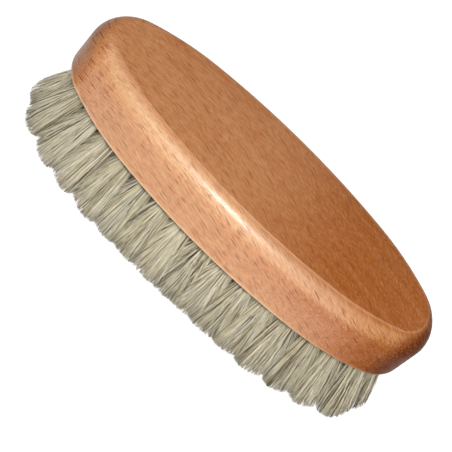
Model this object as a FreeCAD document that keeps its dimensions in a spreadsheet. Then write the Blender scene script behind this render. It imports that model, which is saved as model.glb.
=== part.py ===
"""Oval shoe shine brush.

A one-piece beech block fills the palm. Its underside is bored with blind holes that fan outwards: a
ring along the edge, a centre row, and a bowed row on each side between them. Each hole holds a tuft
of horsehair, folded double over a short piece of flat wire that bites into the wood on both sides.

Millimetres. +X runs along the brush and +Z points up, away from the hair. The origin is under the
middle of the block, on the plane that the hair tips stand on.
"""

import FreeCAD, Part
import math
import os

import Sketcher

Vector = FreeCAD.Vector
UP = Vector(0, 0, 1)

# Driving dimensions. Lengths in millimetres, angles in degrees.
SIZES = {
    # Beech block
    "block_length": 165.0,
    "block_width": 61.0,
    "block_thickness": 22.7,
    "end_radius": 19.8,
    "haunch_radius": 94.5,
    "side_bow": 2.26,
    "shoulder_radius": 9.5,
    "planing_depth": 0.5,
    "rim_radius": 0.8,
    # Bored holes
    "hole_diameter": 5.0,
    "hole_depth": 11.0,
    "edge_margin": 8.0,
    "end_margin": 10.0,
    "centre_row_inset": 11.0,
    "bowed_row_inset": 28.0,
    "end_splay": 18.5,
    "side_splay": 12.5,
    # Hair
    "hair_height": 28.4,
    "tuft_gap": 0.6,
    "hair_clearance": 0.1,
    "fold_height": 2.4,
    # Flat wire anchors
    "wire_width": 1.8,
    "wire_thickness": 0.3,
    "wire_bite": 0.5,
}

# Tufts in the ring along the block's edge and in the three rows inside it.
TUFT_COUNTS = {"outer": 32, "near": 8, "centre": 10, "far": 8}


doc = FreeCAD.newDocument("shine_brush")


def make_sheet():
    """The spreadsheet that drives the model: a name and an aliased number in each row."""
    sheet = doc.addObject("Spreadsheet::Sheet", "Sheet")
    for row, (alias, value) in enumerate(SIZES.items(), start=1):
        sheet.set(f"A{row}", alias)
        sheet.set(f"B{row}", str(value))
        sheet.setAlias(f"B{row}", alias)
    doc.recompute()
    return sheet


sheet = make_sheet()


def size(alias):
    """A driving dimension, read from the sheet."""
    return float(sheet.get(alias))


def new_sketch(body, name, plane_role):
    """An empty sketch on one of the body's own origin planes."""
    sketch = body.newObject("Sketcher::SketchObject", name)
    plane = next(item for item in body.Origin.OriginFeatures if item.Role == plane_role)
    sketch.AttachmentSupport = [(plane, "")]
    sketch.MapMode = "FlatFace"
    return sketch


def dimension(sketch, expression, kind, *where):
    """A dimension of the sketch that follows an expression of sheet cells."""
    value = float(sketch.evalExpression(expression))
    index = sketch.addConstraint(Sketcher.Constraint(kind, *where, value))
    sketch.setExpression(f"Constraints[{index}]", expression)


# Places on sketch geometry, as the sketcher numbers them.
START, END, CENTRE = 1, 2, 3
ORIGIN = (-1, 1)
X_AXIS, Y_AXIS = -1, -2


def oval_arcs(inset, end_inset):
    """The block's outline, drawn in on its sides and ends, as eight tangent anticlockwise arcs.

    Each arc is a centre, a radius and two angles. A small arc rounds each end, a larger one makes
    each haunch, and the flattest makes each side. The haunch circle stops side_bow short of the
    widest line, which places its centre, and the side arc then has the one centre on the Y axis
    from which it meets both haunches smoothly.
    """
    half_width = size("block_width") / 2
    end_radius = size("end_radius")
    haunch_radius = size("haunch_radius")
    end_x = size("block_length") / 2 - end_radius - (end_inset - inset)
    haunch_y = half_width - size("side_bow") - haunch_radius
    end_angle = math.asin(-haunch_y / (haunch_radius - end_radius))
    haunch_x = end_x - (haunch_radius - end_radius) * math.cos(end_angle)
    reach = half_width - haunch_radius
    side_y = (reach**2 - haunch_x**2 - haunch_y**2) / (2 * (reach - haunch_y))
    side_radius = half_width - side_y
    side_angle = math.atan2(haunch_y - side_y, haunch_x)

    end = end_radius - inset
    haunch = haunch_radius - inset
    side = side_radius - inset
    turn = math.pi
    return [
        (Vector(end_x, 0), end, -end_angle, end_angle),
        (Vector(haunch_x, haunch_y), haunch, end_angle, side_angle),
        (Vector(0, side_y), side, side_angle, turn - side_angle),
        (Vector(-haunch_x, haunch_y), haunch, turn - side_angle, turn - end_angle),
        (Vector(-end_x, 0), end, turn - end_angle, turn + end_angle),
        (Vector(-haunch_x, -haunch_y), haunch, turn + end_angle, turn + side_angle),
        (Vector(0, -side_y), side, turn + side_angle, 2 * turn - side_angle),
        (Vector(haunch_x, -haunch_y), haunch, 2 * turn - side_angle, 2 * turn - end_angle),
    ]


def circle_arc(centre, radius, first, last):
    """An arc in the XY plane."""
    return Part.ArcOfCircle(Part.Circle(centre, UP, radius), first, last)


def draw_outline(sketch):
    """The block's plan: eight tangent arcs, held by its length, width, radii and side bow."""
    for arc in oval_arcs(0, 0):
        sketch.addGeometry(circle_arc(*arc))
    right, left = 0, 4
    far, near = 2, 6
    haunches = [1, 3, 5, 7]
    for arc in range(8):
        following = (arc + 1) % 8
        sketch.addConstraint(Sketcher.Constraint("Tangent", arc, END, following, START))
    for arc in (right, left):
        sketch.addConstraint(Sketcher.Constraint("PointOnObject", arc, CENTRE, X_AXIS))
    for arc in (far, near):
        sketch.addConstraint(Sketcher.Constraint("PointOnObject", arc, CENTRE, Y_AXIS))
    sketch.addConstraint(Sketcher.Constraint("Equal", right, left))
    sketch.addConstraint(Sketcher.Constraint("Equal", far, near))
    for arc in haunches[1:]:
        sketch.addConstraint(Sketcher.Constraint("Equal", haunches[0], arc))

    half_width = size("block_width") / 2
    for arc, crown_y in ((far, half_width), (near, -half_width)):
        crown = sketch.addGeometry(Part.Point(Vector(0, crown_y)), True)
        sketch.addConstraint(Sketcher.Constraint("PointOnObject", crown, START, arc))
        sketch.addConstraint(Sketcher.Constraint("PointOnObject", crown, START, Y_AXIS))
        ends = (*ORIGIN, crown, START) if crown_y > 0 else (crown, START, *ORIGIN)
        dimension(sketch, "Sheet.block_width / 2", "DistanceY", *ends)

    end_offset = "Sheet.block_length / 2 - Sheet.end_radius"
    dimension(sketch, end_offset, "DistanceX", *ORIGIN, right, CENTRE)
    dimension(sketch, end_offset, "DistanceX", left, CENTRE, *ORIGIN)
    dimension(sketch, "Sheet.end_radius", "Radius", right)
    dimension(sketch, "Sheet.haunch_radius", "Radius", haunches[0])
    haunch_drop = "Sheet.haunch_radius + Sheet.side_bow - Sheet.block_width / 2"
    dimension(sketch, haunch_drop, "DistanceY", haunches[0], CENTRE, *ORIGIN)


def draw_rectangle(sketch, width, height, base):
    """A rectangle centred on the sketch's upright axis, by its width, height and base height."""
    corners = [Vector(-1, 1), Vector(1, 1), Vector(1, 2), Vector(-1, 2)]
    for corner, following in zip(corners, corners[1:] + corners[:1]):
        sketch.addGeometry(Part.LineSegment(corner, following))
    bottom, right, top, left = range(4)
    for line in range(4):
        sketch.addConstraint(Sketcher.Constraint("Coincident", line, END, (line + 1) % 4, START))
    sketch.addConstraint(Sketcher.Constraint("Horizontal", top))
    for line in (right, left):
        sketch.addConstraint(Sketcher.Constraint("Vertical", line))
    sketch.addConstraint(Sketcher.Constraint("Symmetric", bottom, START, bottom, END, Y_AXIS))
    dimension(sketch, width, "DistanceX", bottom, START, bottom, END)
    dimension(sketch, height, "DistanceY", right, START, right, END)
    dimension(sketch, base, "DistanceY", *ORIGIN, bottom, END)


def edges_at_height(feature, height):
    """Names of the feature's edges that lie flat at a height."""
    names = []
    for number, edge in enumerate(feature.Shape.Edges, start=1):
        box = edge.BoundBox
        if abs(box.ZMin - height) < 1e-4 and abs(box.ZMax - height) < 1e-4:
            names.append(f"Edge{number}")
    return names


def round_edges(body, name, base, height, radius):
    """A fillet along all the edges of base that lie at a height."""
    fillet = body.newObject("PartDesign::Fillet", name)
    fillet.Base = (base, edges_at_height(base, height))
    fillet.setExpression("Radius", radius)
    doc.recompute()
    return fillet


def make_blank():
    """The block before it is bored: sawn to the oval, its shoulder and rim rounded, its back planed.

    The back is planed after the shoulder is rounded, so the round stops just short of tangent and
    leaves a faint arris around the flat back.
    """
    blank = doc.addObject("PartDesign::Body", "blank")
    outline = new_sketch(blank, "outline", "XY_Plane")
    draw_outline(outline)
    sawn = blank.newObject("PartDesign::Pad", "sawn")
    sawn.Profile = outline
    sawn.setExpression("Length", "Sheet.block_thickness + Sheet.planing_depth")
    doc.recompute()

    sawn_height = size("block_thickness") + size("planing_depth")
    shoulder = round_edges(blank, "shoulder", sawn, sawn_height, "Sheet.shoulder_radius")
    rim = round_edges(blank, "rim", shoulder, 0, "Sheet.rim_radius")

    planed_area = new_sketch(blank, "planed_area", "XY_Plane")
    planed_area.setExpression("AttachmentOffset.Base.z", "Sheet.block_thickness")
    half_width = "Sheet.block_width / 2"
    draw_rectangle(planed_area, "Sheet.block_length", "Sheet.block_width", "-" + half_width)
    planing = blank.newObject("PartDesign::Pocket", "planing")
    planing.Profile = planed_area
    planing.Type = "ThroughAll"
    planing.Reversed = True
    blank.setExpression("Placement.Base.z", "Sheet.hair_height")
    doc.recompute()
    if not planing.Shape.Volume < rim.Shape.Volume:
        raise RuntimeError("the back is not planed")
    return blank


class Hole:
    """One bored hole: where its axis meets the block's underside, and how it leans outwards."""

    def __init__(self, row, place):
        self.row = row
        self.mouth = Vector(place.x, place.y, size("hair_height"))
        reach = ring_reach()
        lean_x = math.radians(size("end_splay") * place.x / reach.x)
        lean_y = math.radians(size("side_splay") * place.y / reach.y)
        self.slope = Vector(math.tan(lean_x), math.tan(lean_y), -1)
        self.tilt = math.degrees(self.slope.getAngle(-UP))
        self.placement = FreeCAD.Placement(self.mouth, FreeCAD.Rotation(UP, -self.slope))

    def tip_centre(self):
        """Where the hole's axis meets the plane that the hair is clipped to."""
        return self.mouth + self.slope * size("hair_height")

    def inside(self, offset):
        """A placement at an offset along the hole's own axes, whose Z points into the block."""
        return self.placement.multiply(FreeCAD.Placement(offset, FreeCAD.Rotation()))


def ring_reach():
    """How far the outer ring of hole centres reaches along X and along Y."""
    return Vector(
        size("block_length") / 2 - size("end_margin"),
        size("block_width") / 2 - size("edge_margin"),
    )


def ring_arcs():
    """The line that the outer ring of holes is bored along, further in at the ends."""
    return oval_arcs(size("edge_margin"), size("end_margin"))


def ring_places(count):
    """Evenly spaced places on the outer ring, from its +X end anticlockwise."""
    arcs = ring_arcs()
    centre, radius, first, last = arcs[0]
    path = [(centre, radius, 0, last)] + arcs[1:] + [(centre, radius, first, 0)]
    ring = Part.Wire([circle_arc(*arc).toShape() for arc in path])
    return ring.discretize(Number=count + 1)[:-1]


def ring_half_width(x):
    """Half the width of the outer ring at a place along the brush."""
    for centre, radius, first, last in ring_arcs()[:3]:
        if abs(x) >= centre.x + radius * math.cos(last):
            return centre.y + math.sqrt(radius**2 - (abs(x) - centre.x) ** 2)


def row_places(count, inset, share):
    """Evenly spaced places along the brush, at a share of the way from the middle to the ring."""
    reach = ring_reach().x - inset
    steps = [2 * number / (count - 1) - 1 for number in range(count)]
    return [Vector(reach * step, share * ring_half_width(reach * step)) for step in steps]


def lay_out_holes():
    """All the holes, row by row. The bowed rows lie halfway between the centre row and the ring."""
    bowed = size("bowed_row_inset")
    halfway = 0.5
    places = {
        "outer": ring_places(TUFT_COUNTS["outer"]),
        "near": row_places(TUFT_COUNTS["near"], bowed, -halfway),
        "centre": row_places(TUFT_COUNTS["centre"], size("centre_row_inset"), 0),
        "far": row_places(TUFT_COUNTS["far"], bowed, halfway),
    }
    return [Hole(row, place) for row in TUFT_COUNTS for place in places[row]]


def tip_radii(holes):
    """For each row, the tip radius with which its tufts fill the room up to their neighbours.

    A leaning tuft is clipped to an ellipse, longer than it is wide by one over the cosine of its
    lean, so the cosine keeps that longer radius within half of the way to the next tuft.
    """
    radii = {}
    for row in TUFT_COUNTS:
        room = []
        for hole in holes:
            if hole.row == row:
                tip = hole.tip_centre()
                nearest = min(
                    tip.distanceToPoint(other.tip_centre()) for other in holes if other is not hole
                )
                room.append((nearest - size("tuft_gap")) / 2 * math.cos(math.radians(hole.tilt)))
        radii[row] = min(room)
    return radii


def draw_tuft(sketch, tilt, tip_radius):
    """Half of an unclipped tuft's section: the root in its hole, a short neck and the flare.

    The upright axis of the sketch is the tuft's own, with zero at the hole's mouth. The neck clears
    the lower lip of the tilted hole, and the flare runs on until all of it is below the plane that
    the hair is clipped to.
    """
    root = size("hole_depth")
    neck = size("hole_diameter") / 2
    length = size("hair_height") + neck
    corners = [
        Vector(0, root),
        Vector(neck, root),
        Vector(neck, -neck),
        Vector(tip_radius, -length),
        Vector(0, -length),
    ]
    for corner, following in zip(corners, corners[1:] + corners[:1]):
        sketch.addGeometry(Part.LineSegment(corner, following))
    top, wall, flare, tip, axis = range(5)
    for line in range(5):
        sketch.addConstraint(Sketcher.Constraint("Coincident", line, END, (line + 1) % 5, START))
    for point in (START, END):
        sketch.addConstraint(Sketcher.Constraint("PointOnObject", axis, point, Y_AXIS))
    for line in (top, tip):
        sketch.addConstraint(Sketcher.Constraint("Horizontal", line))
    sketch.addConstraint(Sketcher.Constraint("Vertical", wall))

    clearance = "Sheet.hair_clearance"
    neck_length = f"Sheet.hole_diameter / 2 * tan({tilt:.6f} deg) + {clearance}"
    over_length = f"Sheet.hair_height / cos({tilt:.6f} deg) + {tip_radius:.6f} * tan({tilt:.6f} deg)"
    dimension(sketch, f"Sheet.hole_diameter / 2 - {clearance}", "DistanceX", top, START, top, END)
    dimension(sketch, f"Sheet.hole_depth - {clearance}", "DistanceY", *ORIGIN, top, END)
    dimension(sketch, neck_length, "DistanceY", wall, END, *ORIGIN)
    dimension(sketch, f"{tip_radius:.6f}", "DistanceX", *ORIGIN, flare, END)
    dimension(sketch, f"{over_length} + {clearance}", "DistanceY", axis, START, *ORIGIN)


def make_clippings():
    """The room below the clipping plane, which is taken off every tuft."""
    clippings = doc.addObject("Part::Box", "clippings")
    clippings.setExpression("Length", "2 * Sheet.block_length")
    clippings.setExpression("Width", "2 * Sheet.block_width")
    clippings.setExpression("Height", "Sheet.hair_height")
    clippings.Placement.Base = Vector(-size("block_length"), -size("block_width"), -size("hair_height"))
    return clippings


def make_tuft(label, hole, tip_radius, clippings):
    """A tuft of folded hair: a bundle with a slot at its root where the wire passes, clipped level."""
    tuft = doc.addObject("PartDesign::Body", f"{label}_unclipped")
    section = new_sketch(tuft, f"{label}_section", "XZ_Plane")
    draw_tuft(section, hole.tilt, tip_radius)
    bundle = tuft.newObject("PartDesign::Revolution", f"{label}_bundle")
    bundle.Profile = section
    bundle.ReferenceAxis = (section, ["V_Axis"])
    bundle.Angle = 360

    slot_section = new_sketch(tuft, f"{label}_slot_section", "YZ_Plane")
    draw_rectangle(
        slot_section,
        "Sheet.wire_thickness + 2 * Sheet.hair_clearance",
        "Sheet.wire_width + 2 * Sheet.hair_clearance",
        "Sheet.hole_depth - Sheet.fold_height - Sheet.wire_width - Sheet.hair_clearance",
    )
    slot = tuft.newObject("PartDesign::Pocket", f"{label}_slot")
    slot.Profile = slot_section
    slot.SideType = "Symmetric"
    slot.setExpression("Length", "Sheet.hole_diameter")
    tuft.Placement = hole.placement
    return cut(label, tuft, clippings)


def make_wire(number, hole):
    """A flat wire anchor, set on edge across the hole just below the fold of the hair."""
    wire = doc.addObject("Part::Box", f"wire_{number:02d}")
    wire.setExpression("Length", "Sheet.hole_diameter + 2 * Sheet.wire_bite")
    wire.setExpression("Width", "Sheet.wire_thickness")
    wire.setExpression("Height", "Sheet.wire_width")
    corner = Vector(
        -size("hole_diameter") / 2 - size("wire_bite"),
        -size("wire_thickness") / 2,
        size("hole_depth") - size("fold_height") - size("wire_width"),
    )
    wire.Placement = hole.inside(corner)
    return wire


def make_bore(number, hole):
    """The drill's cylinder, long enough to clear the underside at the mouth of a leaning hole."""
    bore = doc.addObject("Part::Cylinder", f"bore_{number:02d}")
    bore.setExpression("Radius", "Sheet.hole_diameter / 2")
    bore.setExpression("Height", "Sheet.hole_depth + Sheet.hole_diameter")
    bore.Placement = hole.inside(Vector(0, 0, -size("hole_diameter")))
    return bore


def group(name, members):
    """Separate solids kept together under one name."""
    compound = doc.addObject("Part::Compound", name)
    compound.Links = members
    return compound


def cut(name, base, tool):
    """The base with the tool's solids taken out of it."""
    result = doc.addObject("Part::Cut", name)
    result.Base = base
    result.Tool = tool
    return result


def make_sub_parts():
    """Every piece of the brush, as document objects whose labels are the pieces' names."""
    holes = lay_out_holes()
    bores = [make_bore(number, hole) for number, hole in enumerate(holes, start=1)]
    wires = [make_wire(number, hole) for number, hole in enumerate(holes, start=1)]
    anchors = group("anchor_wires", wires)
    bored = cut("bored_block", make_blank(), group("bores", bores))
    block = cut("beech_block", bored, anchors)
    sub_parts = [block, anchors]

    radii = tip_radii(holes)
    clippings = make_clippings()
    for row in TUFT_COUNTS:
        row_holes = [hole for hole in holes if hole.row == row]
        for number, hole in enumerate(row_holes, start=1):
            label = f"{row}_tuft_{number:02d}"
            sub_parts.append(make_tuft(label, hole, radii[row], clippings))
        print(f"{row} row: {len(row_holes)} tufts, tip radius {radii[row]:.2f} mm")
    doc.recompute()
    return sub_parts


def check(sub_parts):
    """Stop if any object failed to build or any piece has no sound shape."""
    for item in doc.Objects:
        if "Invalid" in item.State or "Error" in item.State:
            raise RuntimeError(f"{item.Label} failed to build")
    for part in sub_parts:
        if part.Shape.isNull() or not part.Shape.isValid():
            raise RuntimeError(f"{part.Label} has no sound shape")


def export(sub_parts):
    """One file for each piece, named by its label."""
    os.makedirs("parts", exist_ok=True)
    for part in sub_parts:
        part.Shape.exportStep(f"parts/{part.Label}.step")
    print(f"{len(sub_parts)} pieces written")


pieces = make_sub_parts()
check(pieces)
export(pieces)
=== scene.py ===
# %% [markdown]
# # An oval shoe shine brush
#
# The brush is a block of lacquered beech that fills the palm, with tufts of horsehair set in its
# underside. The solids come from a CAD model: the block with its bored holes, the wires that hold the
# hair, and one plain solid for each tuft. This lesson dresses them. The block and the wires keep their
# solids and get materials. Each tuft's solid is replaced by some nine hundred modelled hairs.

import math

import bpy
import numpy as np
from mathutils import Matrix, Vector


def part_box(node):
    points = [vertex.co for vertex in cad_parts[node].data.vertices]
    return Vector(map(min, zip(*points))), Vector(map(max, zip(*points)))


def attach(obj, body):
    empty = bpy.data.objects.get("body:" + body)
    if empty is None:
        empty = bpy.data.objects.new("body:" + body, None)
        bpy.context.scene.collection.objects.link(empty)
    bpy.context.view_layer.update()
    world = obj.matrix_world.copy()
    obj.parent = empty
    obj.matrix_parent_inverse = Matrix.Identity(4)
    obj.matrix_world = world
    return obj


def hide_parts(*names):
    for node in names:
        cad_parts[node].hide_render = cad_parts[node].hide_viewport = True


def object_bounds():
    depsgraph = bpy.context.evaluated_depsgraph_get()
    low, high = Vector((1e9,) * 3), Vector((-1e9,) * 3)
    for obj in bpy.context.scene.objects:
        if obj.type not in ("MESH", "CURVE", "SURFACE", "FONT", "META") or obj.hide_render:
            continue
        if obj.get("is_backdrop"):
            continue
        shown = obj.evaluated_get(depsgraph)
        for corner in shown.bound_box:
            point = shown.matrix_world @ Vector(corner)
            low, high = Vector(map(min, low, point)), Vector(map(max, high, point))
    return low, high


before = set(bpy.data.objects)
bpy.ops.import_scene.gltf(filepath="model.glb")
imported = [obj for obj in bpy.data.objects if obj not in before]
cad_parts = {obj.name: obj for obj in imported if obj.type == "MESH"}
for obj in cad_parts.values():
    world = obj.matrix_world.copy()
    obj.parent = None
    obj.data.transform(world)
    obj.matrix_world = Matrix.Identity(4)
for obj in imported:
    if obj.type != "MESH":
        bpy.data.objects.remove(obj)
cad_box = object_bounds()
MM = 0.001
block_low, block_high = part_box("beech_block")
underside = block_low.z
back_height = block_high.z
tuft_nodes = sorted(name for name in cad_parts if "_tuft_" in name)
print(f"{len(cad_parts)} solids, {len(tuft_nodes)} of them tufts")
print(f"the block's underside is {underside / MM:.1f} mm up and its back {back_height / MM:.1f} mm")

# %% [markdown]
# ## The camera
#
# The photograph looks down on the brush's near side with a long lens, and the camera is rolled, so the
# brush lies across the picture from the upper left to the lower right. A camera can be aimed with a
# constraint, but a roll is easier to say as three axes: one to the right of the picture, one up it and
# one back towards the camera. They are the columns of the camera's rotation.

# %% Aim the camera
PICTURE_WIDTH = 452
FOCAL_PIXELS = 1400
VIEW_AZIMUTH = -3.25
VIEW_ELEVATION = 42.92
VIEW_ROLL = 46.78
VIEW_DISTANCE = 515.3 * MM
AIM_RIGHT = -5.38 * MM
AIM_UP = -6.68 * MM
NEAREST_SHARE = 0.01


def direction(azimuth, elevation):
    """From the brush outwards: azimuth 0 is its near side, -Y, and elevation is above the floor."""
    turn, rise = math.radians(azimuth), math.radians(elevation)
    return Vector(
        (math.sin(turn) * math.cos(rise), -math.cos(turn) * math.cos(rise), math.sin(rise))
    )


def rolled_axes(azimuth, elevation, roll):
    """Right, up and back of a view. The level right and up are turned about back by the roll."""
    back = direction(azimuth, elevation)
    level = Vector((math.cos(math.radians(azimuth)), math.sin(math.radians(azimuth)), 0))
    upright = back.cross(level)
    cosine, sine = math.cos(math.radians(roll)), math.sin(math.radians(roll))
    return cosine * level + sine * upright, cosine * upright - sine * level, back


right, up, back = rolled_axes(VIEW_AZIMUTH, VIEW_ELEVATION, VIEW_ROLL)
aim = Vector((0, 0, underside)) + AIM_RIGHT * right + AIM_UP * up
camera = bpy.data.objects.new("camera", bpy.data.cameras.new("camera"))
camera.data.lens = camera.data.sensor_width * FOCAL_PIXELS / PICTURE_WIDTH
camera.data.clip_start = VIEW_DISTANCE * NEAREST_SHARE
rotation = Matrix((right, up, back)).transposed().to_4x4()
camera.matrix_world = Matrix.Translation(aim + VIEW_DISTANCE * back) @ rotation
bpy.context.scene.collection.objects.link(camera)
bpy.context.scene.camera = camera
print(f"lens {camera.data.lens:.1f} mm, {VIEW_DISTANCE:.2f} m away")

# %% [markdown]
# ## Building node trees
#
# Materials here are node trees written in code. Three small helpers keep them readable: one starts a
# material, one adds a node and sets or links its inputs, and one does arithmetic on two values.


# %% Helpers for nodes
def new_material(name):
    """An empty material, its node tree and its output node."""
    material = bpy.data.materials.new(name)
    material.use_nodes = True
    material.node_tree.nodes.clear()
    return material, material.node_tree, material.node_tree.nodes.new("ShaderNodeOutputMaterial")


def node(tree, kind, inputs=None, **settings):
    """A node of a kind. An input is named or numbered, and takes a value or another node's output."""
    made = tree.nodes.new("ShaderNode" + kind)
    for name, value in settings.items():
        setattr(made, name, value)
    for name, value in (inputs or {}).items():
        if isinstance(value, bpy.types.NodeSocket):
            tree.links.new(value, made.inputs[name])
        else:
            made.inputs[name].default_value = value
    return made


def maths(tree, operation, first, second=0.0, clamp=False):
    """The result of a sum, product or other operation on two values."""
    return node(tree, "Math", {0: first, 1: second}, operation=operation, use_clamp=clamp).outputs[0]


print("helpers for node trees are ready")

# %% [markdown]
# ## Floor and light
#
# The brush stands on its hair on a plain white sheet. The sheet is a pale diffuse surface that glows a
# little for the camera and for mirrored rays, so that it reads as white and still takes a soft shadow.
# The main light is a large soft box low in front, because the side of the block is brighter than its
# back. A long strip above it lays a broad sheen along the shoulder, and a small bright panel within the
# strip makes the white streak in the sheen. A weaker box low behind keeps the far side from going dark.

# %% Lay the white sheet
SHEET_HALF_WIDTH = 2.0
SHEET_GREY = 0.7
SHEET_GLOW = 0.72


def shown_rays(tree):
    """One for rays from the camera and for mirrored or refracted ones, and zero for the rest."""
    path = node(tree, "LightPath").outputs
    seen = maths(tree, "MAXIMUM", path["Is Camera Ray"], path["Is Glossy Ray"])
    return maths(tree, "MAXIMUM", seen, path["Is Transmission Ray"])


def make_sheet_material():
    """White paper that shows from above only, so that the brush can be seen from below too."""
    material, tree, output = new_material("white_sheet")
    paper = node(
        tree,
        "BsdfPrincipled",
        {
            "Base Color": (SHEET_GREY, SHEET_GREY, SHEET_GREY, 1),
            "Roughness": 0.9,
            "Specular IOR Level": 0.0,
            "Emission Color": (1, 1, 1, 1),
            "Emission Strength": maths(tree, "MULTIPLY", shown_rays(tree), SHEET_GLOW),
        },
    )
    below = node(tree, "NewGeometry").outputs["Backfacing"]
    clear = node(tree, "BsdfTransparent")
    both = node(tree, "MixShader", {0: below, 1: paper.outputs[0], 2: clear.outputs[0]})
    tree.links.new(both.outputs[0], output.inputs["Surface"])
    return material


sheet_mesh = bpy.data.meshes.new("white_sheet")
corners = np.array([(-1, -1, 0), (1, -1, 0), (1, 1, 0), (-1, 1, 0)]) * SHEET_HALF_WIDTH
sheet_mesh.from_pydata(corners.tolist(), [], [(0, 1, 2, 3)])
sheet_mesh.materials.append(make_sheet_material())
white_sheet = bpy.data.objects.new("white_sheet", sheet_mesh)
bpy.context.scene.collection.objects.link(white_sheet)
white_sheet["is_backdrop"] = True
print(f"a white sheet {2 * SHEET_HALF_WIDTH:.0f} m wide")

# %% Light the room
ROOM_LIGHT = 0.32

world = bpy.data.worlds.new("studio")
world.use_nodes = True
bpy.context.scene.world = world
surroundings = world.node_tree.nodes["Background"]
surroundings.inputs["Color"].default_value = (1, 1, 1, 1)
strength = maths(world.node_tree, "MAXIMUM", shown_rays(world.node_tree), ROOM_LIGHT)
world.node_tree.links.new(strength, surroundings.inputs["Strength"])
bpy.context.scene.view_settings.view_transform = "Standard"
print(f"a room that looks white and lights the brush at {ROOM_LIGHT}")


# %% Hang the lamps
def soft_box(name, azimuth, elevation, distance, width, height, power, colour):
    """A lamp with a rectangular face, aimed at the middle of the brush from a direction."""
    lamp = bpy.data.lights.new(name, "AREA")
    lamp.shape = "RECTANGLE"
    lamp.size, lamp.size_y = width, height
    lamp.energy = power
    lamp.color = colour
    hung = bpy.data.objects.new(name, lamp)
    towards = direction(azimuth, elevation)
    hung.location = Vector((0, 0, underside)) + distance * towards
    hung.rotation_euler = towards.to_track_quat("Z", "Y").to_euler()
    bpy.context.scene.collection.objects.link(hung)
    print(f"{name}: {power:.2f} W, {distance:.2f} m away")


soft_box(
    "front_box",
    azimuth=9,
    elevation=20,
    distance=0.55,
    width=0.85,
    height=0.26,
    power=1.15,
    colour=(1.0, 0.97, 0.92),
)
soft_box(
    "sheen_strip",
    azimuth=-9,
    elevation=51,
    distance=0.7,
    width=0.62,
    height=0.16,
    power=1.05,
    colour=(1.0, 0.97, 0.88),
)
soft_box(
    "streak_panel",
    azimuth=0,
    elevation=48,
    distance=0.7,
    width=0.09,
    height=0.17,
    power=1.7,
    colour=(1.0, 0.99, 0.97),
)
soft_box(
    "back_box",
    azimuth=180,
    elevation=14,
    distance=0.6,
    width=0.6,
    height=0.2,
    power=0.5,
    colour=(1.0, 0.98, 0.95),
)

# %% [markdown]
# ## Streaks
#
# Timber and drawn wire share one effect: fine streaks along one direction. It is noise on coordinates
# that are squeezed more across the streaks than along them. A node group holds it, so that both
# materials use the same nodes.

# %% A node group for streaks
NOISE_LOW, NOISE_HIGH = 0.25, 0.75


def ramp(tree, value, low, high, to_low=0.0, to_high=1.0):
    """A value carried from one range to another and held at its ends.

    Of its share t of the way through the first range it takes three t squared minus two t cubed.
    """
    carried = {"Value": value, 1: low, 2: high, 3: to_low, 4: to_high}
    return node(tree, "MapRange", carried, interpolation_type="SMOOTHSTEP").outputs[0]


def stretched(tree, place, factors):
    """Coordinates multiplied along each axis, so that a pattern on them is drawn out along some."""
    return node(tree, "VectorMath", {0: place, 1: factors}, operation="MULTIPLY").outputs[0]


def noise(tree, place, detail=2.0):
    """Smooth noise about one half, one cell to each unit of the coordinates."""
    return node(tree, "TexNoise", {"Vector": place, "Scale": 1.0, "Detail": detail}).outputs[0]


def make_streaks():
    """Noise on stretched coordinates, carried from its usual narrow range to zero to one."""
    group = bpy.data.node_groups.new("streaks", "ShaderNodeTree")
    for name, kind in (("Place", "Vector"), ("Squeeze", "Vector"), ("Detail", "Float")):
        group.interface.new_socket(name, in_out="INPUT", socket_type="NodeSocket" + kind)
    group.interface.new_socket("Streaks", in_out="OUTPUT", socket_type="NodeSocketFloat")
    given = group.nodes.new("NodeGroupInput").outputs
    squeezed = stretched(group, given["Place"], given["Squeeze"])
    spread = ramp(group, noise(group, squeezed, given["Detail"]), NOISE_LOW, NOISE_HIGH)
    group.links.new(spread, group.nodes.new("NodeGroupOutput").inputs["Streaks"])
    return group


STREAKS = make_streaks()


def streaks(tree, place, along, across, detail=2.0):
    """Streaks along X. The two numbers are how many of them come in each unit, along and across."""
    wanted = {"Place": place, "Squeeze": (along, across, across), "Detail": detail}
    return node(tree, "Group", wanted, node_tree=STREAKS).outputs[0]


print(f"a group of {len(STREAKS.nodes)} nodes for the beech and the wires")

# %% [markdown]
# ## The figure of beech
#
# Beech has short dark dashes, which are the edges of its rays: thin plates of cells that run out from
# the middle of the tree. The figure could be a picture wrapped round the block, but it would break at
# the shoulder. A solid pattern runs on from the side over the shoulder to the back, as in real timber.
# Its coordinates follow the timber first: the grain slopes more and more towards one end of the block,
# and the rays are tilted. Dashes are the cells of a Voronoi pattern, drawn out along the grain and
# squeezed across the rays.

# %% Follow the timber
GRAIN_SLOPE, GRAIN_CURVE = 0.17, 0.0014
RAY_TILT = math.radians(22.8)
WANDER_SQUEEZE = (0.02, 0.03, 0.03)
WANDER_REACH = (0, 6, 3)
NOISE_MIDDLE = 0.5


def moved(tree, place, way):
    """Coordinates moved by a vector."""
    return node(tree, "VectorMath", {0: place, 1: way}, operation="ADD").outputs[0]


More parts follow.
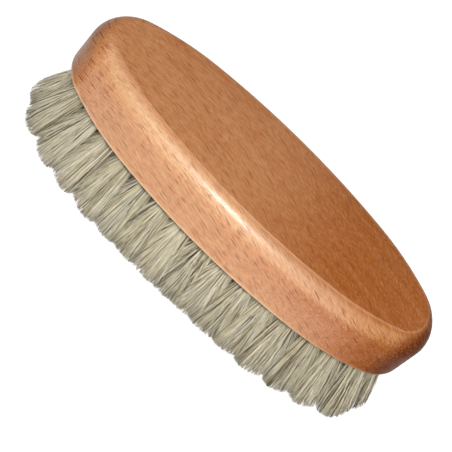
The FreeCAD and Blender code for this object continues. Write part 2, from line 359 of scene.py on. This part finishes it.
def timber_place(tree):
    """Millimetres in the timber: along its grain, along its rays and across them.

    The grain's sideways run at x is the slope times x plus the curve times x squared. Slow noise, less
    its middle value, then lets the grain wander by some millimetres.
    """
    block = stretched(tree, node(tree, "TexCoord").outputs["Object"], (1 / MM,) * 3)
    x = node(tree, "SeparateXYZ", {0: block}).outputs[0]
    slope = maths(tree, "ADD", maths(tree, "MULTIPLY", x, GRAIN_CURVE), GRAIN_SLOPE)
    run = maths(tree, "MULTIPLY", x, slope)
    straight = moved(tree, block, node(tree, "CombineXYZ", {1: run, 2: run}).outputs[0])
    timber = node(tree, "Mapping", {0: straight, "Rotation": (RAY_TILT, 0, 0)}).outputs[0]
    slow = node(tree, "TexNoise", {"Vector": stretched(tree, timber, WANDER_SQUEEZE), "Scale": 1.0})
    swing = moved(tree, slow.outputs["Color"], (-NOISE_MIDDLE,) * 3)
    return moved(tree, timber, stretched(tree, swing, WANDER_REACH))


print(f"the grain slopes by {GRAIN_SLOPE} and the rays by {math.degrees(RAY_TILT):.1f} degrees")

# %% Draw the dashes
DASH_LENGTH, DASH_WIDTH, RAY_DEPTH = 5.6, 0.42, 45.0
BARE_CELLS = 0.2
LONGEST_REACH = 0.46
DASH_EDGE = 0.18
SMALL_DASH, SMALL_DASH_SHARE = 0.6, 0.65


def ray_dashes(tree, timber, size):
    """One inside a dash and zero outside. Only some cells have a dash, and its reach is by chance."""
    cell = np.array((DASH_LENGTH, RAY_DEPTH, DASH_WIDTH)) * size
    cells = node(tree, "TexVoronoi", {"Vector": stretched(tree, timber, 1 / cell), "Scale": 1.0})
    chance = node(tree, "SeparateColor", {0: cells.outputs["Color"]}).outputs[0]
    reach = ramp(tree, chance, BARE_CELLS, 1.0, 0.0, LONGEST_REACH)
    return ramp(tree, maths(tree, "SUBTRACT", reach, cells.outputs["Distance"]), 0.0, DASH_EDGE)


def all_dashes(tree, timber):
    """Dashes of full size with fainter small ones between them: the larger of the two."""
    small = maths(tree, "MULTIPLY", ray_dashes(tree, timber, SMALL_DASH), SMALL_DASH_SHARE)
    return maths(tree, "MAXIMUM", ray_dashes(tree, timber, 1.0), small)


print(f"dashes up to about {DASH_LENGTH * LONGEST_REACH:.1f} mm to each side of their middles")

# %% [markdown]
# ## The tones of the block
#
# The block isn't one colour. It is redder towards its right end, and darker towards its far side, which
# is painted shade. Growth rings and soft clouds of tone cross it. Both ends are end grain, which drinks
# more of the finish and is darker, and their darker tone is also painted shade where they turn from the
# light. The side is a little creamier, most of all below the edge of the back, and that cream is a
# painted sheen. All of this could be a painted picture, but a mix by place and by the direction in which
# a face points needs no unwrapping and stays sharp at any distance.

# %% Tones by place and direction
HEART_SLANT = 1.5
HEART_RANGE = (-12 * MM, 42 * MM)
# share of the painted shade towards the far side
FAR_SHADE_SHARE = 0.3


def screen(red, green, blue):
    """The linear colour of a screen colour given in steps of 255.

    It is a straight line near black, and above that a power of 2.4.
    """
    steps = np.array((red, green, blue)) / 255
    linear = np.where(steps <= 0.04045, steps / 12.92, ((steps + 0.055) / 1.055) ** 2.4)
    return (*linear.tolist(), 1.0)


def mixed(tree, share, first, second, way="MIX"):
    """Two colours, with the second taking a share."""
    made = node(tree, "Mix", {0: share, 6: first, 7: second}, data_type="RGBA", blend_type=way)
    return made.outputs[2]


# the far tone is painted shade, laid on towards the far side, away from the lamps
PALE_BEECH, RED_BEECH, FAR_PAINTED_SHADE = screen(206, 143, 96), screen(176, 99, 41), screen(160, 100, 60)
RING_TONE, CLOUD_TONE = screen(196, 130, 85), screen(188, 112, 66)
# the end tones are end grain, darkened further by painted shade
LEFT_END_GRAIN_AND_SHADE, RIGHT_END_GRAIN_AND_SHADE = screen(98, 52, 23), screen(94, 38, 8)

# squeeze of the noise, the range in which it shows, its share and its tone
CLOUDS = (
    ((0.008, 0.42, 0.04), (0.4, 0.65), 0.3, RING_TONE),
    ((0.03, 0.12, 0.12), (0.5, 0.75), 0.45, CLOUD_TONE),
    ((0.25, 0.7, 0.7), (0.5, 0.7), 0.45, CLOUD_TONE),
)

# the range of a face's turn towards +X in which end grain and painted shade show, their share and their
# tone
END_GRAIN_AND_SHADE = (
    ((-0.45, -1.0), 0.65, LEFT_END_GRAIN_AND_SHADE),
    ((0.2, 0.75), 0.92, RIGHT_END_GRAIN_AND_SHADE),
)


def towards_heart(tree, place):
    """Zero at the left end and one at the right, across a plane that slants with the depth."""
    depth = maths(tree, "MULTIPLY", maths(tree, "SUBTRACT", place[2], back_height), HEART_SLANT)
    return ramp(tree, maths(tree, "ADD", place[0], depth), *HEART_RANGE)


def timber_tones(tree, timber, heart, place, facing):
    """The block's colour before its painted sheen and its streaks: red by the heart, painted shade
    towards the far side, clouds, and end grain darkened further by painted shade.
    """
    wood = mixed(tree, heart, PALE_BEECH, RED_BEECH)
    # painted shade: darker towards the far side
    wood = mixed(tree, ramp(tree, place[1], 0.0, block_high.y, 0.0, FAR_SHADE_SHARE), wood, FAR_PAINTED_SHADE)
    for squeeze, (low, high), share, tone in CLOUDS:
        cloud = noise(tree, stretched(tree, timber, squeeze))
        wood = mixed(tree, ramp(tree, cloud, low, high, 0.0, share), wood, tone)
    # end grain at both ends, darker still as painted shade where the ends turn from the lamps
    for (low, high), share, tone in END_GRAIN_AND_SHADE:
        wood = mixed(tree, ramp(tree, facing[0], low, high, 0.0, share), wood, tone)
    return wood


print(f"{len(CLOUDS)} layers of clouds and {len(END_GRAIN_AND_SHADE)} ends of darker grain")

# %% Painted sheen along the shoulder
# The cream is a painted sheen, laid a little on the side and most on the shoulder.
SHEEN_CREAM = screen(250, 214, 160)
SIDE_SHEEN, SHOULDER_SHEEN = (0.1, 0.04), (0.28, 0.24)
SHOULDER_RISE = (0.25, 0.6)
SHOULDER_TOP = 0.8
CREASE_NORMAL = 0.947
SHEEN_ENDS = (0.25, 0.5, 1.0, 0.0)


def painted_sheen_share(tree, facing, heart):
    """Share of cream that paints a sheen: little on the side, most on the shoulder, none on the back or
    at the ends.

    It rises and falls with a face's turn upwards, up to the turn at which the back's edge begins. The
    shares on the side and on the shoulder each have a value at the left end and one at the right.
    """
    on_side = ramp(tree, heart, 0.0, 1.0, *SIDE_SHEEN)
    on_shoulder = ramp(tree, heart, 0.0, 1.0, *SHOULDER_SHEEN)
    rising = ramp(tree, facing[2], *SHOULDER_RISE, on_side, on_shoulder)
    off_back = ramp(tree, facing[2], SHOULDER_TOP, CREASE_NORMAL, rising, 0.0)
    off_ends = ramp(tree, maths(tree, "ABSOLUTE", facing[0]), *SHEEN_ENDS)
    return maths(tree, "MULTIPLY", off_back, off_ends)


print(f"the shoulder is up to {max(SHOULDER_SHEEN):.0%} cream")

# %% [markdown]
# ## Streaks, dashes, a pale rim and a painted highlight
#
# Over the tones lie bands, fine streaks and pores, all from the one group, and then the dashes. On the
# back the rays are seen flatter, so the dashes are fainter there. The lower rim is paler, and a narrow
# pale band along the edge of the back is a painted highlight. The underside is raw wood and as pale as
# the rim.

# %% Streaks and dashes in the wood
DARKER_GRAIN, DASH_COLOUR = (0.62, 0.5, 0.42, 1), (0.46, 0.24, 0.1, 1)
PALER_GRAIN, PALER_SHARE = screen(244, 206, 160), 0.35
DARK_BANDS = (0.5, 1.0, 0.0, 0.25)
DARK_FINE, PALE_FINE = (0.55, 1.0, 0.0, 0.45), (0.45, 0.0, 0.0, 0.5)
DARK_PORES = (0.6, 1.0, 0.0, 0.5)
DASHES_EDGE_ON = (0.6, 1.0, 1.0, 0.35)


def timber_figure(tree, wood, facing, dash, bands, fine, pores):
    """Wood with its streaks and dashes. The dark ones are the wood's own colour times another."""
    dark = mixed(tree, 1.0, wood, DARKER_GRAIN, "MULTIPLY")
    pale = mixed(tree, PALER_SHARE, wood, PALER_GRAIN)
    wood = mixed(tree, ramp(tree, bands, *DARK_BANDS), wood, dark)
    wood = mixed(tree, ramp(tree, fine, *DARK_FINE), wood, dark)
    wood = mixed(tree, ramp(tree, fine, *PALE_FINE), wood, pale)
    wood = mixed(tree, ramp(tree, pores, *DARK_PORES), wood, dark)
    edge_on = ramp(tree, facing[2], *DASHES_EDGE_ON)
    line = mixed(tree, 1.0, wood, DASH_COLOUR, "MULTIPLY")
    return mixed(tree, maths(tree, "MULTIPLY", dash, edge_on), wood, line)


print(f"dashes on the back are {DASHES_EDGE_ON[-1]:.0%} as strong as on the side")

# %% A pale rim, and a painted highlight on the edge of the back
# The pale tone is a painted highlight along the edge of the back, and on the lower rim only a paler
# band.
PALE_RIM_AND_HIGHLIGHT = screen(250, 214, 170)
RIM_TOP, RIM_BOTTOM, RIM_SHARE = underside + 2.0 * MM, underside + 0.5 * MM, 0.55
RIM_FADE = (20 * MM, 60 * MM, 1.0, 0.3)
EDGE_HIGHLIGHT_RISE = (CREASE_NORMAL - 0.05, CREASE_NORMAL - 0.005, 0.0, 0.3)
EDGE_HIGHLIGHT_END = (CREASE_NORMAL + 0.01, CREASE_NORMAL + 0.04)
EDGE_HIGHLIGHT_FADE = (-30 * MM, 0.0)


def pale_rim_and_highlight_share(tree, place, facing):
    """Share of pale wood: the larger of the lower rim's and that of the painted highlight on the edge of
    the back.

    The rim's fades towards the right end. The edge's is a narrow band of directions just short of the
    back's, and it fades towards the left end.
    """
    rim = ramp(tree, place[2], RIM_TOP, RIM_BOTTOM, 0.0, RIM_SHARE)
    rim = maths(tree, "MULTIPLY", rim, ramp(tree, place[0], *RIM_FADE))
    # the edge's narrow band is a painted highlight, just short of the back's turn
    near_edge, on_back = ramp(tree, facing[2], *EDGE_HIGHLIGHT_RISE), ramp(tree, facing[2], *EDGE_HIGHLIGHT_END)
    edge = maths(tree, "SUBTRACT", near_edge, on_back, clamp=True)
    edge = maths(tree, "MULTIPLY", edge, ramp(tree, place[0], *EDGE_HIGHLIGHT_FADE))
    return maths(tree, "MAXIMUM", rim, edge)


# how far up the pale lower rim reaches
print(f"the rim is rubbed up to {(RIM_TOP - underside) / MM:.1f} mm above the underside")

# %% [markdown]
# ## Lacquer
#
# Clear lacquer is a thin smooth coat over the wood, and the Principled shader has a coat for it. In the
# photograph the long sides and the left end shine while the back looks almost matt, so a mask of gloss
# follows the direction in which a face points. The wood's pores show through the coat as a faint relief.

# %% Where the lacquer shines
SIDE_ENDS = (0.25, 0.65, 1.0, 0.0)
NEAR_SIDE, FAR_SIDE = (-0.15, -0.45), (0.68, 0.95)
LEFT_END_GLOSS = (-0.4, -0.9, 0.0, 0.3)
RIGHT_FADE = (36 * MM, 74 * MM, 1.0, 0.1)


def gloss_share(tree, place, facing):
    """One on the long sides, less towards the right, a little at the left end and none elsewhere."""
    near, far = ramp(tree, facing[1], *NEAR_SIDE), ramp(tree, facing[1], *FAR_SIDE)
    along_side = ramp(tree, maths(tree, "ABSOLUTE", facing[0]), *SIDE_ENDS)
    gloss = maths(tree, "MULTIPLY", maths(tree, "ADD", near, far), along_side)
    gloss = maths(tree, "MULTIPLY", gloss, ramp(tree, place[0], *RIGHT_FADE))
    return maths(tree, "MAXIMUM", gloss, ramp(tree, facing[0], *LEFT_END_GLOSS))


print(f"the left end has {LEFT_END_GLOSS[-1]:.0%} of the gloss of the long sides")

# %% Lacquer the block
RELIEF_DEPTH, RELIEF_STRENGTH = 0.03 * MM, 0.3
PORE_RELIEF, DASH_RELIEF = 0.6, 0.6
BANDS, FINE, PORES = (0.12, 0.8), (0.3, 2.2, 3.0), (0.9, 6.0)
WOOD_ROUGHNESS = (0.34, 0.44)
WOOD_SPECULAR, COAT_WEIGHT = (0.02, 0.5), (0.01, 0.5)


def timber_relief(tree, dash, fine, pores):
    """Normals of shallow grooves along fine streaks, pores and dashes, each with a share of depth."""
    height = maths(tree, "ADD", fine, maths(tree, "MULTIPLY", pores, PORE_RELIEF))
    height = maths(tree, "ADD", height, maths(tree, "MULTIPLY", dash, DASH_RELIEF))
    wanted = {"Strength": RELIEF_STRENGTH, "Distance": -RELIEF_DEPTH, "Height": height}
    return node(tree, "Bump", wanted).outputs[0]


def make_beech_material():
    """Beech under clear lacquer, with painted shade towards the far side, end grain darkened by painted
    shade, a painted sheen along the shoulder, a pale lower rim and a painted highlight along the edge of
    the back.
    """
    material, tree, output = new_material("lacquered_beech")
    coordinates = node(tree, "TexCoord").outputs
    place = node(tree, "SeparateXYZ", {0: coordinates["Object"]}).outputs
    facing = node(tree, "SeparateXYZ", {0: coordinates["Normal"]}).outputs
    timber = timber_place(tree)
    dash = all_dashes(tree, timber)
    bands, fine, pores = (streaks(tree, timber, *spacing) for spacing in (BANDS, FINE, PORES))
    heart = towards_heart(tree, place)
    wood = timber_tones(tree, timber, heart, place, facing)
    # painted sheen: cream where the lamps' sheen falls on the side and the shoulder
    wood = mixed(tree, painted_sheen_share(tree, facing, heart), wood, SHEEN_CREAM)
    wood = timber_figure(tree, wood, facing, dash, bands, fine, pores)
    # a pale lower rim, and a painted highlight along the edge of the back
    wood = mixed(tree, pale_rim_and_highlight_share(tree, place, facing), wood, PALE_RIM_AND_HIGHLIGHT)
    gloss = gloss_share(tree, place, facing)
    relief = timber_relief(tree, dash, fine, pores)
    lacquer = node(
        tree,
        "BsdfPrincipled",
        {
            "Base Color": wood,
            "Roughness": ramp(tree, fine, 0.0, 1.0, *WOOD_ROUGHNESS),
            "Normal": relief,
            "Specular IOR Level": ramp(tree, gloss, 0.0, 1.0, *WOOD_SPECULAR),
            "Coat Weight": ramp(tree, gloss, 0.0, 1.0, *COAT_WEIGHT),
            "Coat Roughness": 0.17,
            "Coat Normal": relief,
        },
    )
    tree.links.new(lacquer.outputs[0], output.inputs["Surface"])
    return material


def wear(solid, material):
    """A solid from the CAD model takes a material in all its slots."""
    solid.data.materials.clear()
    solid.data.materials.append(material)


lacquered_beech = make_beech_material()
wear(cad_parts["beech_block"], lacquered_beech)
print(f"lacquered beech of {len(lacquered_beech.node_tree.nodes)} nodes on the block")

# %% [markdown]
# ## Anchor wires
#
# Each tuft is folded over a short piece of flat wire deep in its hole. No light reaches the wires, but
# the part can be cut open or taken apart, so they get drawn steel: fine lines along the wire. A plain
# grey would do from afar, but the group of streaks is already there.

# %% Drawn steel
DULL_STEEL, BRIGHT_STEEL = screen(168, 168, 164), screen(206, 206, 202)
LINES_ALONG, LINES_ACROSS = 0.2 / MM, 6 / MM
STEEL_ROUGHNESS = (0.3, 0.7, 0.25, 0.45)


def make_wire_material():
    """Bright steel with streaks along the wire."""
    material, tree, output = new_material("drawn_wire")
    place = node(tree, "TexCoord").outputs["Object"]
    lines = streaks(tree, place, LINES_ALONG, LINES_ACROSS)
    steel = node(
        tree,
        "BsdfPrincipled",
        {
            "Base Color": mixed(tree, lines, DULL_STEEL, BRIGHT_STEEL),
            "Metallic": 1.0,
            "Roughness": ramp(tree, lines, *STEEL_ROUGHNESS),
        },
    )
    tree.links.new(steel.outputs[0], output.inputs["Surface"])
    return material


wear(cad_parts["anchor_wires"], make_wire_material())
print("drawn steel on the anchor wires")

# %% [markdown]
# ## Horsehair
#
# Undyed horsehair is a mix of cream, grey and brown hairs. Each hair has one colour, darker in the shade
# of its hole and at its cut tip. A material for each tone would split the tufts, so the hairs carry a UV
# map instead: across it runs the hair's tone and up it the way from root to tip. The material needs
# nothing else.

# %% The hair's colours
HAIR_MAP = "OFBake"
HAIR_TONES = (
    (0.00, screen(50, 42, 28)),
    (0.16, screen(118, 100, 72)),
    (0.34, screen(182, 174, 150)),
    (0.46, screen(214, 199, 162)),
    (0.60, screen(222, 217, 192)),
    (0.78, screen(245, 235, 204)),
    (1.00, screen(253, 250, 238)),
)
HAIR_SHADE = screen(66, 58, 46)
ROOT_SHADE = (0.17, 0.25, 0.85, 0.0)
TIP_SHADE = (0.94, 1.0, 0.0, 0.25)


def make_hair_material():
    """Hair coloured by its map: the tone picks a colour, and the way along the hair shades it."""
    material, tree, output = new_material("horsehair")
    spot = node(tree, "SeparateXYZ", {0: node(tree, "UVMap", uv_map=HAIR_MAP).outputs[0]})
    tone, along = spot.outputs[0], spot.outputs[1]
    colours = node(tree, "ValToRGB", {0: tone})
    band = colours.color_ramp
    for position, colour in HAIR_TONES[1:-1]:
        band.elements.new(position).color = colour
    band.elements[0].color = HAIR_TONES[0][1]
    band.elements[len(HAIR_TONES) - 1].color = HAIR_TONES[-1][1]
    shade = maths(tree, "MAXIMUM", ramp(tree, along, *ROOT_SHADE), ramp(tree, along, *TIP_SHADE))
    shaded = mixed(tree, shade, colours.outputs[0], HAIR_SHADE)
    hair = node(
        tree,
        "BsdfPrincipled",
        {"Base Color": shaded, "Roughness": 0.42, "Specular IOR Level": 0.45},
    )
    tree.links.new(hair.outputs[0], output.inputs["Surface"])
    return material


horsehair = make_hair_material()
print(f"horsehair in {len(HAIR_TONES)} tones")

# %% [markdown]
# ## Where each tuft grows
#
# Each tuft stands in its own hole and points a little outwards. The places could be typed in again, but
# a tuft's solid already holds them: the part above the underside is the root in its hole, and the flat
# end is where the hair was clipped. The middles of the two give the tuft's axis, and the axis gives the
# mouth of the hole and the hair's length.

# %% Read the tufts from their solids
ABOVE_MOUTH = 1.0 * MM
CLIPPED_END = 0.05 * MM


def tuft_axis(name):
    """The mouth of a tuft's hole, the way its hair points, and how far it reaches along that way."""
    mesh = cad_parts[name].data
    points = np.empty(len(mesh.vertices) * 3, np.float32)
    mesh.vertices.foreach_get("co", points)
    points = np.unique(points.reshape(-1, 3).round(6), axis=0).astype(float)
    root = points[points[:, 2] > underside + ABOVE_MOUTH].mean(axis=0)
    tip = points[points[:, 2] < CLIPPED_END].mean(axis=0)
    way = (tip - root) / np.linalg.norm(tip - root)
    mouth = root + way * (root[2] - underside) / -way[2]
    return mouth, way, underside / -way[2]


tufts = {name: tuft_axis(name) for name in tuft_nodes}
lengths = np.array([length for _, _, length in tufts.values()])
print(f"hair reaches {lengths.min() / MM:.1f} to {lengths.max() / MM:.1f} mm out of the holes")

# %% [markdown]
# ## Hairs and locks
#
# A tuft's hairs gather in locks. Both start side by side in the hole and fan out, more along the row
# than across it, so neighbouring tufts cross and close the gaps towards their tips. More than half of
# the hairs cross their tuft along the row. The tuft as a whole is swept a little to one side of the row.
# Points on a sunflower spiral fill the hole evenly, which points drawn by chance alone wouldn't do.

# %% Places and leans in a tuft
HAIRS, LOCKS = 920, 34
GOLDEN_TURN = math.pi * (3 - math.sqrt(5))
EVEN_SPREAD, RIM_CROWDING = 0.5, 0.36
PLACE_SCATTER, LOCK_PLACE_SCATTER = 0.03, 0.08
LOCK_LEAN, HAIR_LEAN = 0.04, 0.05
CROSSING_SHARE, CROSSING_LEAN = 0.6, 0.8
WIDEST_LEAN = 1.06
FAN_SCATTER, TUFT_SWAY = 0.06, 0.06


def sunflower(count, power):
    """Points of the unit disc, each a golden turn on and as far out as a power of its share of them.

    A power of one half spreads them evenly, and a smaller one crowds them to the rim.
    """
    number = np.arange(count)
    radius = ((number + 0.5) / count) ** power
    turn = number * GOLDEN_TURN
    return radius[:, None] * np.stack((np.cos(turn), np.sin(turn)), axis=1)


def scattered(random, lock, lock_scatter, hair_scatter):
    """Two chance values for each hair: those of its lock plus its own."""
    of_lock = random.normal(0, lock_scatter, (LOCKS, 2))[lock]
    return of_lock + random.normal(0, hair_scatter, (HAIRS, 2))


def hair_places(random):
    """Each hair's point of the unit disc, and the number of the lock whose point is nearest."""
    place = sunflower(HAIRS, RIM_CROWDING) + random.normal(0, PLACE_SCATTER, (HAIRS, 2))
    lock_place = sunflower(LOCKS, EVEN_SPREAD) + random.normal(0, LOCK_PLACE_SCATTER, (LOCKS, 2))
    gap = np.linalg.norm(place[:, None] - lock_place[None], axis=2)
    return place, gap.argmin(axis=1)


def hair_leans(random, place, lock, sweep):
    """How far each hair leans across and along the row, as a share of the fan.

    A hair leans by its place plus a scatter, and some by a wide scatter along the row. The lean is held
    to a widest one. Then the tuft's own scatter scales and moves it, and the sweep is taken off along
    the row.
    """
    lean = place + scattered(random, lock, LOCK_LEAN, HAIR_LEAN)
    crossing = random.random(HAIRS) < CROSSING_SHARE
    lean[:, 1] += crossing * random.normal(0, CROSSING_LEAN, HAIRS)
    lean = lean / np.maximum(1.0, np.linalg.norm(lean, axis=1, keepdims=True) / WIDEST_LEAN)
    return lean * random.normal(1, FAN_SCATTER) + random.normal(0, TUFT_SWAY, 2) - (0, sweep)


print(f"{HAIRS} hairs in {LOCKS} locks to each tuft")

# %% [markdown]
# ## The course of each hair
#
# Hair could be a particle system, but then it would be no mesh in the finished part. Here all the hairs
# of a tuft are worked out at once as arrays. A hair leaves its hole at a slant, bows and waves a little,
# and is clipped. Hairs that lean end higher, so the ends of a tuft make a dome, which gives the edge of
# the brush its soft scallops.

# %% Centre lines and tones of the hairs
RINGS = 6
GATHERED_RADIUS = 2.3 * MM
ROOT_DEPTH = 1.5 * MM
HAIR_RADIUS = 0.115 * MM
FAN_START = 0.95
DOME = 0.85
RAGGED_ENDS = 0.05 * MM
LOCK_BOW, HAIR_BOW = 0.15 * MM, 0.4 * MM
LOCK_WAVE, HAIR_WAVE = 0.1 * MM, 0.25 * MM
NUDGE = 1e-6
TONE, TUFT_TONE, LOCK_TONE, HAIR_TONE = 0.75, 0.03, 0.05, 0.3
# the share of far darker hairs: partly the mix's own dark hairs, partly painted shade of the gaps
# between locks
DARK_AND_SHADE_HAIRS, DARKER_BY = 0.22, 0.55


def tuft_axes(way):
    """Two unit vectors square to the tuft: across its row, which is outwards, and along it."""
    outward = np.array((way[0], way[1], 0.0)) + NUDGE
    across = outward - way * (outward @ way)
    across = across / np.linalg.norm(across)
    return np.stack((across, np.cross(way, across)))


def hair_lines(random, mouth, way, length, fan, sweep):
    """Centre lines of a tuft's hairs, as hairs by rings by coordinates, and the number of each lock.

    A hair's root lies in the hole at its place, and its tip is moved sideways by its lean times the
    fan's slope times the length. That grows along the hair as a mix of s and s squared, with a bow
    4 s (1 - s) and a wave that is the sine of a full turn. Hairs that lean shorten by a share of the
    fall of a circle's arc, and every tip is clipped at the floor.
    """
    place, lock = hair_places(random)
    sideways = hair_leans(random, place, lock, sweep) * fan * length
    bow = scattered(random, lock, LOCK_BOW, HAIR_BOW)
    wave = scattered(random, lock, LOCK_WAVE, HAIR_WAVE)
    fall = length - np.sqrt(length**2 - (sideways**2).sum(axis=1))
    reach = length - DOME * fall - np.abs(random.normal(0, RAGGED_ENDS, HAIRS))

    step = np.linspace(0, 1, RINGS)[None, :, None]
    fanned = sideways[:, None] * (FAN_START * step + (1 - FAN_START) * step**2)
    bowed = bow[:, None] * 4 * step * (1 - step) + wave[:, None] * np.sin(2 * math.pi * step)
    depth = (reach[:, None, None] + ROOT_DEPTH) * step - ROOT_DEPTH
    root = place * GATHERED_RADIUS
    lines = mouth + depth * way + (root[:, None] + fanned + bowed) @ tuft_axes(way)

    drop = underside - lines[:, -1, 2]
    kept = np.minimum(1.0, (underside - HAIR_RADIUS) / drop)
    return lines[:, :1] + (lines - lines[:, :1]) * kept[:, None, None], lock


def hair_tones(random, lock):
    """A tone from zero to one for each hair: that of its tuft, lock and itself, with some far darker.
    The far darker hairs are partly dark hairs of the mix and partly painted shade for the gaps between
    locks.
    """
    tone = TONE + random.normal(0, TUFT_TONE) + random.normal(0, LOCK_TONE, LOCKS)[lock]
    tone = tone + random.normal(0, HAIR_TONE, HAIRS)
    # far darker hairs: partly dark hairs of the mix, partly painted shade between locks
    return np.clip(tone - DARKER_BY * (random.random(HAIRS) < DARK_AND_SHADE_HAIRS), 0.0, 1.0)


print(f"each hair has {RINGS} rings and is {2 * HAIR_RADIUS / MM:.2f} mm thick at its root")

# %% [markdown]
# ## From lines to tubes
#
# A real hair is round. At this size three sides are enough, and they keep the whole brush under two
# million triangles. The tubes are closed at both ends, so that each one is a solid of its own.

# %% Tubes round the lines
SIDES = 3
TIP_TAPER = 0.85
THINNEST, THICKEST = 0.8, 1.2
SIDE_GUIDE = (0.0, 1.0, 0.2)


def hair_tubes(random, lines):
    """Corners of the tubes, as hairs by rings by sides by coordinates.

    Each ring is a triangle about its line's point, square to the hair's own run from root to tip,
    turned by a chance angle and smaller towards the tip. The guide is a direction in which no hair
    runs, so its cross product with a run always gives a first side.
    """
    run = lines[:, -1] - lines[:, 0]
    run = run / np.linalg.norm(run, axis=1, keepdims=True)
    first = np.cross(run, SIDE_GUIDE)
    first = first / np.linalg.norm(first, axis=1, keepdims=True)
    second = np.cross(run, first)
    angle = random.uniform(0, 2 * math.pi, (HAIRS, 1)) + np.arange(SIDES) * 2 * math.pi / SIDES
    spoke = np.cos(angle)[:, :, None] * first[:, None] + np.sin(angle)[:, :, None] * second[:, None]
    taper = np.linspace(1, TIP_TAPER, RINGS)[None, :]
    thickness = HAIR_RADIUS * taper * random.uniform(THINNEST, THICKEST, (HAIRS, 1))
    return lines[:, :, None] + thickness[:, :, None, None] * spoke[:, None]


def tube_faces():
    """Faces of all the tubes: four-sided walls between rings, and a triangle at each end.

    A corner's number is (hair times rings plus ring) times sides plus side.
    """
    hair = np.arange(HAIRS)[:, None, None] * RINGS * SIDES
    ring = np.arange(RINGS - 1)[None, :, None] * SIDES
    side = np.arange(SIDES)[None, None, :]
    low = hair + ring + side
    low_next = hair + ring + (side + 1) % SIDES
    walls = np.stack((low, low_next, low_next + SIDES, low + SIDES), axis=-1).reshape(-1, 4)
    starts = np.arange(HAIRS)[:, None] * RINGS * SIDES
    roots = starts + np.arange(SIDES)[::-1]
    tips = starts + (RINGS - 1) * SIDES + np.arange(SIDES)
    return walls, np.concatenate((roots, tips))


walls, caps = tube_faces()
print(f"a hair has {RINGS * SIDES} corners; a tuft has {len(walls) + len(caps)} faces")

# %% Put a tuft into a mesh
TONE_START, TONE_SPAN, SIDE_STEP = 0.02, 0.93, 0.015


def hair_chart(corners, tones):
    """A tuft's map: tone across it, plus a little for each side, and the way up the hair."""
    hair, rest = np.divmod(corners, RINGS * SIDES)
    ring, side = np.divmod(rest, SIDES)
    across = TONE_START + TONE_SPAN * tones[hair] + SIDE_STEP * side
    return np.stack((across, ring / (RINGS - 1)), axis=1)


def hair_mesh(name, tubes, tones):
    """A mesh of a tuft's tubes with its map and its material."""
    mesh = bpy.data.meshes.new(name)
    mesh.vertices.add(tubes.size // 3)
    mesh.vertices.foreach_set("co", tubes.astype(np.float32).ravel())
    corners = np.concatenate((walls.ravel(), caps.ravel()))
    totals = np.concatenate((np.full(len(walls), 4), np.full(len(caps), SIDES)))
    starts = np.concatenate(([0], np.cumsum(totals)[:-1]))
    mesh.loops.add(len(corners))
    mesh.loops.foreach_set("vertex_index", corners.astype(np.int32))
    mesh.polygons.add(len(totals))
    mesh.polygons.foreach_set("loop_start", starts.astype(np.int32))
    mesh.polygons.foreach_set("use_smooth", np.ones(len(totals), bool))
    mesh.update(calc_edges=True)
    chart = mesh.uv_layers.new(name=HAIR_MAP)
    chart.data.foreach_set("uv", hair_chart(corners, tones).astype(np.float32).ravel())
    mesh.materials.append(horsehair)
    return mesh


print(f"tones lie from {TONE_START} to {TONE_START + TONE_SPAN:.2f} across the map")

# %% [markdown]
# ## Growing the hair
#
# The tufts of the outer ring fan out along their row and little across it. Round the ends of the ring
# they fan less and are swept further along it. The tufts of the inner rows fan alike all round. Each
# tuft has a generator of chance numbers of its own, so the brush comes out the same on every run.

# %% Grow all the tufts
FAN_ALONG_ROW = math.tan(math.radians(16.2))
FAN_ACROSS_ROW = math.tan(math.radians(6.5))
INNER_FAN = math.tan(math.radians(17))
END_GATHER = 0.22
ROW_SWEEP, END_SWEEP = 0.1, 0.3


def fan_and_sweep(name, way):
    """A tuft's slopes across and along its row, and its sweep.

    The fourth power of the way's share towards an end of the brush tells the ends from the sides.
    """
    at_end = (abs(way[0]) / math.hypot(way[0], way[1])) ** 4
    sweep = ROW_SWEEP + (END_SWEEP - ROW_SWEEP) * at_end
    if name.startswith("outer"):
        return np.array((FAN_ACROSS_ROW, FAN_ALONG_ROW * (1 - END_GATHER * at_end))), sweep
    return np.array((INNER_FAN, INNER_FAN)), sweep


triangles = 0
for seed, (name, (mouth, way, length)) in enumerate(tufts.items()):
    random = np.random.default_rng(seed)
    fan, sweep = fan_and_sweep(name, way)
    lines, lock = hair_lines(random, mouth, way, length, fan, sweep)
    tones = hair_tones(random, lock)
    mesh = hair_mesh(f"{name}_hair", hair_tubes(random, lines), tones)
    piece = bpy.data.objects.new(f"{name}_hair", mesh)
    bpy.context.scene.collection.objects.link(piece)
    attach(piece, "root")
    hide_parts(name)
    triangles += 2 * len(walls) + len(caps)
print(f"{len(tufts)} tufts of {HAIRS} hairs, {triangles} triangles")

# %% [markdown]
# ## Finish
#
# The hair may stand a little proud of the solids that it replaces. Both boxes are written down so that
# they can be compared.

# %% Write the two boxes and finish
visual_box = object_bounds()
for label, (low, high) in (("CAD", cad_box), ("visual", visual_box)):
    print(label, "box in mm:", " x ".join(f"{side / MM:.1f}" for side in high - low))
